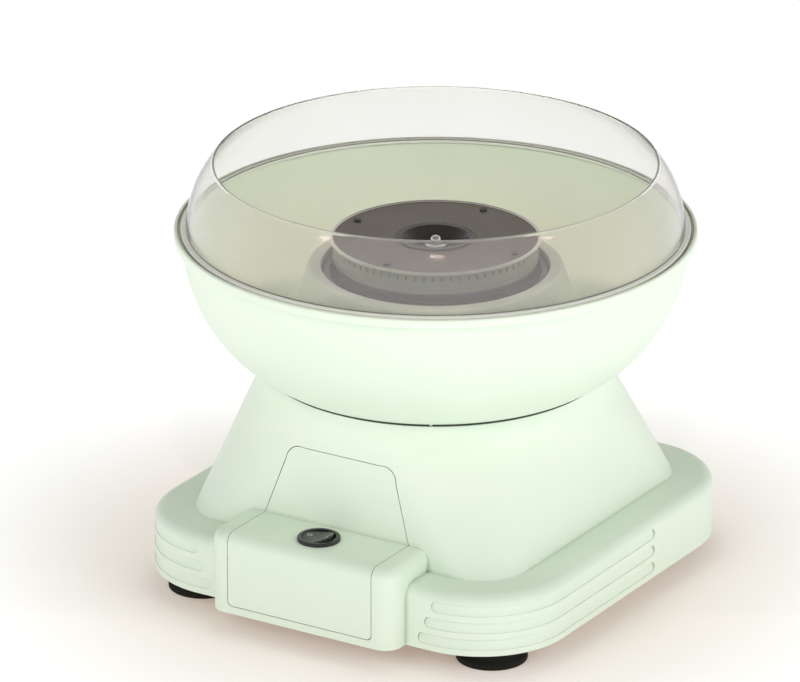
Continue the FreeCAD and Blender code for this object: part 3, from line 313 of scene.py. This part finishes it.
MINT = (0.795, 0.90, 0.765)
FINISHES = {
    # the green shell has painted shade darkening its narrow gaps, such as the seam under the bowl
    "mint_shell": moulded("mint_plastic", MINT, 0.42, vary=0.012, specular=0.42, gap_painted_shade=True),
    "black_plastic": moulded("black_plastic", (0.022, 0.022, 0.021), 0.28, vary=0.15),
    "grey_plastic": moulded("grey_plastic", (0.30, 0.32, 0.30), 0.5),
    "black_rubber": moulded("black_rubber", (0.012, 0.012, 0.010), 0.75, grain=900, vary=0.2,
                            specular=0.2),
    "heatproof_plastic": moulded("heatproof_plastic", (0.13, 0.125, 0.12), 0.55, vary=0.1),
    "bronze": metal("bronze", (0.55, 0.38, 0.20), 0.42),
    "zinc_steel": metal("zinc_steel", (0.62, 0.63, 0.64), 0.34, stretch=(1, 1, 12)),
    "bright_steel": metal("bright_steel", (0.86, 0.86, 0.87), 0.16),
    "dark_tray": metal("dark_tray", (0.24, 0.235, 0.225), 0.5, rings=1400),
    "heater_sheath": metal("heater_sheath", (0.24, 0.21, 0.19), 0.5),
    "ceramic": moulded("ceramic", (0.83, 0.80, 0.73), 0.6, grain=2200, depth=0.00006),
    "disc_aluminium": metal("disc_aluminium", (0.20, 0.172, 0.142), 0.36, rings=1800, vary=0.06),
    "head_aluminium": metal("head_aluminium", (0.40, 0.40, 0.375), 0.4, rings=1500),
    "copper": metal("copper", (0.72, 0.40, 0.22), 0.3, stretch=(1, 1, 20)),
    "iron": metal("iron", (0.18, 0.18, 0.19), 0.6, stretch=(1, 1, 0.02)),
    "brass": metal("brass", (0.75, 0.60, 0.30), 0.28),
    "circuit_board": moulded("circuit_board", (0.06, 0.24, 0.10), 0.4, vary=0.12),
    "nylon": moulded("nylon", (0.84, 0.84, 0.80), 0.45),
    "capacitor_sleeve": moulded("capacitor_sleeve", (0.03, 0.05, 0.13), 0.3, vary=0.1),
    "lead_jacket": moulded("lead_jacket", (0.50, 0.07, 0.05), 0.5, vary=0.08),
    "clear_guard": clear_plastic("clear_plastic", 0.90),
}

# painted highlight: the guard's clear flange gets a nearly opaque pale finish that stands in for the
# light its edge catches
FLANGE_PAINTED_HIGHLIGHT = clear_plastic("flange_painted_highlight", 0.1, (0.90, 0.97, 0.89), (0.92, 0.99, 0.91))
# painted highlight: the disc's rolled edge gets a brighter copy of the disc's dark metal, standing
# in for the light along its edge
EDGE_PAINTED_HIGHLIGHT = metal("disc_edge_painted_highlight", (0.80, 0.78, 0.72), 0.28, rings=2400, vary=0.03)

slot_of = {entry["node"]: entry["material_slot"] for entry in frame["record"]["subparts"]}
for node_name, node in frame["nodes"].items():
    node.data.materials.clear()
    node.data.materials.append(FINISHES[slot_of[node_name]])


# Mesh building

STEPS_ROUND = 288


def arc_points(start, end, radius, side, count):
    """Points of an arc from start to end, both left out, bulging to the right (1) or left (-1)."""
    start, end = Vector(start), Vector(end)
    chord = end - start
    half = chord.length / 2
    normal = Vector((chord.y, -chord.x)).normalized() * side
    centre = (start + end) / 2 - normal * math.sqrt(radius ** 2 - half ** 2)
    first = math.atan2(*(start - centre).yx)
    last = math.atan2(*(end - centre).yx)
    sweep = (last - first + math.pi) % (2 * math.pi) - math.pi
    angles = [first + sweep * step / count for step in range(1, count)]
    return [(centre.x + radius * math.cos(a), centre.y + radius * math.sin(a)) for a in angles]


def rounded(points, steps=7):
    """A closed outline whose corners (r, z, radius) are rounded off; two numbers stay sharp."""
    result = []
    for number, corner in enumerate(points):
        here = Vector(corner[:2])
        if len(corner) == 2:
            result.append(tuple(here))
            continue
        before = (Vector(points[number - 1][:2]) - here)
        after = (Vector(points[(number + 1) % len(points)][:2]) - here)
        turn = math.pi - before.angle(after)
        reach = corner[2] * math.tan(turn / 2)
        start = here + before.normalized() * reach
        end = here + after.normalized() * reach
        side = 1 if before.x * after.y - before.y * after.x < 0 else -1
        result.append(tuple(start))
        result += arc_points(start, end, corner[2], side, steps)
        result.append(tuple(end))
    return result


def finish_mesh(name, builder, finish, body, sharp=50):
    """Turns a bmesh into a named piece that rides on a body."""
    bmesh.ops.recalc_face_normals(builder, faces=builder.faces[:])
    mesh = bpy.data.meshes.new(name)
    builder.to_mesh(mesh)
    builder.free()
    mesh.materials.append(finish)
    mesh.shade_smooth()
    mesh.set_sharp_from_angle(angle=math.radians(sharp))
    piece = bpy.data.objects.new(name, mesh)
    scene.collection.objects.link(piece)
    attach(piece, body)
    return piece


def lathe(name, profile, body, slot, centre=(0, 0), steps=STEPS_ROUND, finish=None):
    """A closed (radius, height) outline turned round an upright axis."""
    builder = bmesh.new()
    rings = []
    for step in range(steps):
        angle = 2 * math.pi * step / steps
        ring = [builder.verts.new((centre[0] + r * math.cos(angle),
                                   centre[1] + r * math.sin(angle), z)) for r, z in profile]
        rings.append(ring)
    for step in range(steps):
        here, following = rings[step], rings[(step + 1) % steps]
        for row in range(len(profile)):
            after = (row + 1) % len(profile)
            builder.faces.new((here[row], following[row], following[after], here[after]))
    bmesh.ops.remove_doubles(builder, verts=builder.verts[:], dist=1e-7)
    return finish_mesh(name, builder, finish or FINISHES[slot], body)


# Bowl

bowl_low, bowl_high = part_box("bowl")
RIM = bowl_high.x
RIM_TOP = bowl_high.z
RIM_HEIGHT = 5.2 * MM
MOUTH = 138.2 * MM
WALL = 2.6 * MM
WALL_CURVE = 87.1 * MM
WALL_TOP = 140.7 * MM
WALL_FOOT = 97.5 * MM
FLOOR = 124.2 * MM
FOOT = 91.1 * MM
LEDGE = 142.9 * MM
LEDGE_DEPTH = 1.7 * MM
PEG_RADIUS = 0.9 * MM
PEG_CIRCLE = 94.2 * MM
PEG_ANGLE = math.radians(-60)
PEG_OVERLAP = 0.5 * MM
COLLAR_BORE = 63.6 * MM
COLLAR_LIP = 69.7 * MM
COLLAR_TOP = 180.0 * MM
COLLAR_BASE = 87.0 * MM
COLLAR_SKIRT = 14 * MM
COLLAR_UNDERCUT = 2 * MM
CURVE_STEPS = 40


def make_bowl():
    rim_bottom = RIM_TOP - RIM_HEIGHT
    ledge = RIM_TOP - LEDGE_DEPTH
    inner_foot = (WALL_FOOT - 1.3 * MM, FLOOR + WALL)
    profile = [(MOUTH, ledge, 0.6 * MM), (MOUTH, rim_bottom)]
    profile += arc_points(profile[1], inner_foot, WALL_CURVE - WALL, -1, CURVE_STEPS)
    profile += [
        inner_foot,
        (COLLAR_BASE, FLOOR + WALL, 9 * MM),
        (COLLAR_LIP + 1.2 * MM, COLLAR_TOP, 2.6 * MM),
        (COLLAR_BORE, COLLAR_TOP, 1.0 * MM),
        (COLLAR_BORE, COLLAR_TOP - COLLAR_SKIRT, 0.4 * MM),
        (COLLAR_BORE + WALL, COLLAR_TOP - COLLAR_SKIRT, 0.4 * MM),
        (COLLAR_BORE + WALL, COLLAR_TOP - WALL - COLLAR_UNDERCUT),
        (COLLAR_LIP - 0.9 * MM, COLLAR_TOP - WALL - COLLAR_UNDERCUT),
        (COLLAR_BASE - 3 * MM, FLOOR),
        (FOOT - WALL, FLOOR),
        (FOOT - WALL, bowl_low.z, 0.4 * MM),
        (FOOT, bowl_low.z, 0.8 * MM),
        (FOOT, FLOOR),
        (WALL_FOOT, FLOOR),
    ]
    outer_top = (WALL_TOP, rim_bottom)
    profile += arc_points((WALL_FOOT, FLOOR), outer_top, WALL_CURVE, 1, CURVE_STEPS)
    profile += [outer_top, (RIM, rim_bottom, 1.0 * MM), (RIM, RIM_TOP, 1.3 * MM),
                (LEDGE, RIM_TOP, 0.5 * MM), (LEDGE, ledge, 0.2 * MM)]
    shell = lathe("bowl_shell", rounded(profile), "bowl_body", "mint_shell")
    peg_top = FLOOR + PEG_OVERLAP
    peg_centre = (PEG_CIRCLE * math.cos(PEG_ANGLE), PEG_CIRCLE * math.sin(PEG_ANGLE))
    peg = lathe("bowl_peg", [(0, bowl_low.z), (PEG_RADIUS, bowl_low.z), (PEG_RADIUS, peg_top),
                             (0, peg_top)], "bowl_body", "mint_shell", peg_centre, 32)
    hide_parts("bowl")
    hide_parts("bowl")


make_bowl()


# Clear splash guard

guard_low, guard_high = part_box("splash_guard")
GUARD_WALL = 1.8 * MM
LIP_WALL = 1.3 * MM
GUARD_SIDE = 138.5 * MM
GUARD_MOUTH = 123.6 * MM
GUARD_CURVE = 59.0 * MM
FLANGE_THICK = 1.7 * MM
FLANGE_EDGE = guard_high.x - 1.2 * MM
GUARD_STEPS = 36


def make_guard():
    base = guard_low.z + FLANGE_THICK
    inner_side = GUARD_SIDE - GUARD_WALL
    lip = guard_high.z - 0.8 * MM
    thin = GUARD_MOUTH - LIP_WALL
    flange = lathe("guard_flange", rounded([
        (inner_side, guard_low.z, 0.4 * MM),
        (FLANGE_EDGE, guard_low.z, 0.4 * MM),
        (FLANGE_EDGE, base, 0.6 * MM),
        (inner_side, base),
    ]), "guard", "clear_guard", finish=FLANGE_PAINTED_HIGHLIGHT)
    profile = [(GUARD_SIDE, base)]
    profile += arc_points((GUARD_SIDE, base), (GUARD_MOUTH, lip), GUARD_CURVE, 1, GUARD_STEPS)
    profile += [
        (GUARD_MOUTH, lip),
        (GUARD_MOUTH, guard_high.z, 0.5 * MM),
        (thin, guard_high.z, 0.5 * MM),
        (thin, lip),
    ]
    profile += arc_points((thin, lip), (inner_side, base), GUARD_CURVE - GUARD_WALL, -1,
                          GUARD_STEPS)
    profile += [(inner_side, base)]
    wall = lathe("guard_wall", rounded(profile), "guard", "clear_guard")
    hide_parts("splash_guard")
    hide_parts("splash_guard")


make_guard()


# Spinning head: a disc with a rolled edge

disc_low, disc_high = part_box("head_top_disc")
DISC_RADIUS = disc_high.x
DISC_BEAD = 1.0 * MM
DISC_THICK = 1.3 * MM
FUNNEL_SEAT = 20.8 * MM
BEAD_STEPS = 20


def make_disc():
    top = disc_low.z + DISC_THICK
    neck = DISC_RADIUS - DISC_BEAD
    disc = lathe("head_disc", [(FUNNEL_SEAT, disc_low.z), (neck, disc_low.z), (neck, top),
                               (FUNNEL_SEAT, top)], "head", "disc_aluminium")
    turns = [2 * math.pi * step / BEAD_STEPS for step in range(BEAD_STEPS)]
    outline = [(neck + DISC_BEAD * math.cos(angle), disc_low.z + DISC_BEAD * (1 + math.sin(angle)))
               for angle in turns]
    bead = lathe("rolled_edge", outline, "head", "disc_aluminium", finish=EDGE_PAINTED_HIGHLIGHT)
    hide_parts("head_top_disc")
    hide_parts("head_top_disc")


make_disc()


# Rubber feet: a flared puck with a hollow foot ring

FOOT_RADIUS = 19.8 * MM
FOOT_NECK = 4.8 * MM
PLINTH_BOTTOM = 12.0 * MM


def make_feet():
    for name in ("foot_front_left", "foot_front_right", "foot_rear_left", "foot_rear_right"):
        low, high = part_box(name)
        centre = ((low.x + high.x) / 2, (low.y + high.y) / 2)
        profile = [
            (0, low.z + 2.2 * MM),
            (FOOT_RADIUS * 0.55, low.z + 1.9 * MM),
            (FOOT_RADIUS - 2.6 * MM, low.z, 0.6 * MM),
            (FOOT_RADIUS, low.z, 0.9 * MM),
            (FOOT_RADIUS, low.z + 3.4 * MM, 1.2 * MM),
            (FOOT_RADIUS - 2.2 * MM, low.z + 5.6 * MM, 2.0 * MM),
            (FOOT_RADIUS - 2.6 * MM, PLINTH_BOTTOM, 0.5 * MM),
            (FOOT_NECK, PLINTH_BOTTOM),
            (FOOT_NECK, high.z),
            (0, high.z),
        ]
        piece = lathe(name + "_rubber", rounded(profile), "base", "black_rubber", centre, 96)
        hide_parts(name)


make_feet()


# Rocker marks: a ring for off and a bar for on, a hair proud of the rocker

rocker_low, rocker_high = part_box("rocker_cap")
MARK_RISE = 0.15 * MM
MARK_OFFSET = 5.6 * MM
MARK_FINISH = moulded("mark_print", (0.55, 0.56, 0.54), 0.5, vary=0.05)


def make_mark(name, centre, inner, outer, steps):
    """A printed mark between an inner and an outer ellipse, laid on the rocker's own surface."""
    node = frame["nodes"]["rocker_cap"]
    corners = [node.matrix_world @ vertex.co for vertex in node.data.vertices]
    surface = BVHTree.FromPolygons(corners, [tuple(face.vertices) for face in node.data.polygons])
    builder = bmesh.new()
    rows = []
    for step in range(steps):
        turn = 2 * math.pi * step / steps
        row = []
        for across, along in (inner, outer):
            x = centre[0] + across * math.cos(turn)
            y = centre[1] + along * math.sin(turn)
            hit = surface.ray_cast(Vector((x, y, rocker_high.z + MM)), Vector((0, 0, -1)))[0]
            row += [builder.verts.new((x, y, hit.z + MARK_RISE)),
                    builder.verts.new((x, y, hit.z - MARK_RISE))]
        rows.append(row)
    for here, after in zip(rows, rows[1:] + rows[:1]):
        for one, two in ((0, 2), (2, 3), (3, 1), (1, 0)):
            builder.faces.new((here[one], here[two], after[two], after[one]))
    bmesh.ops.recalc_face_normals(builder, faces=builder.faces)
    return finish_mesh(name, builder, MARK_FINISH, "rocker")


rocker_middle = (rocker_low + rocker_high) / 2
make_mark("off_mark", (rocker_middle.x - MARK_OFFSET, rocker_middle.y), (1.0 * MM, 1.0 * MM),
          (1.5 * MM, 1.5 * MM), 32)
make_mark("on_mark", (rocker_middle.x + MARK_OFFSET, rocker_middle.y), (0.05 * MM, 0.9 * MM),
          (0.35 * MM, 1.5 * MM), 16)


# Floor, whose glow carries a painted shadow near the machine

PAINTED_SHADOW_START = 0.11
PAINTED_SHADOW_END = 0.33
# painted shadow: the dim warm glow of the floor next to the machine
PAINTED_SHADOW_NEAR = (0.26, 0.18, 0.13, 1)
GLOW_FAR = (0.62, 0.62, 0.62, 1)


def make_floor():
    """A pale floor that glows white away from the machine; near the machine its glow is dim and
    warm, a painted shadow.
    """
    builder = bmesh.new()
    bmesh.ops.create_grid(builder, x_segments=8, y_segments=8, size=8)
    mesh = bpy.data.meshes.new("floor")
    builder.to_mesh(mesh)
    builder.free()
    material, tree, shader = new_material("pale_floor")
    base = tint(tree, noise(tree, 3), (0.90, 0.92, 0.94), (0.92, 0.94, 0.96))
    link(tree, base, shader.inputs["Base Color"])
    shader.inputs["Roughness"].default_value = 1.0
    shader.inputs["Specular IOR Level"].default_value = 0.0
    distance = tree.nodes.new("ShaderNodeVectorMath")
    distance.operation = "LENGTH"
    link(tree, object_coordinates(tree), distance.inputs[0])
    reach = tree.nodes.new("ShaderNodeMapRange")
    reach.interpolation_type = "SMOOTHSTEP"
    reach.inputs["From Min"].default_value = PAINTED_SHADOW_START
    reach.inputs["From Max"].default_value = PAINTED_SHADOW_END
    link(tree, distance.outputs["Value"], reach.inputs["Value"])
    # the floor's glow, blended from the painted shadow near the machine to even white further out
    glow_and_painted_shadow = tree.nodes.new("ShaderNodeMix")
    glow_and_painted_shadow.data_type = "RGBA"
    glow_and_painted_shadow.inputs["A"].default_value = PAINTED_SHADOW_NEAR
    glow_and_painted_shadow.inputs["B"].default_value = GLOW_FAR
    link(tree, reach.outputs["Result"], glow_and_painted_shadow.inputs["Factor"])
    link(tree, glow_and_painted_shadow.outputs["Result"], shader.inputs["Emission Color"])
    shader.inputs["Emission Strength"].default_value = 1.0
    mesh.materials.append(material)
    floor = bpy.data.objects.new("floor", mesh)
    scene.collection.objects.link(floor)


make_floor()
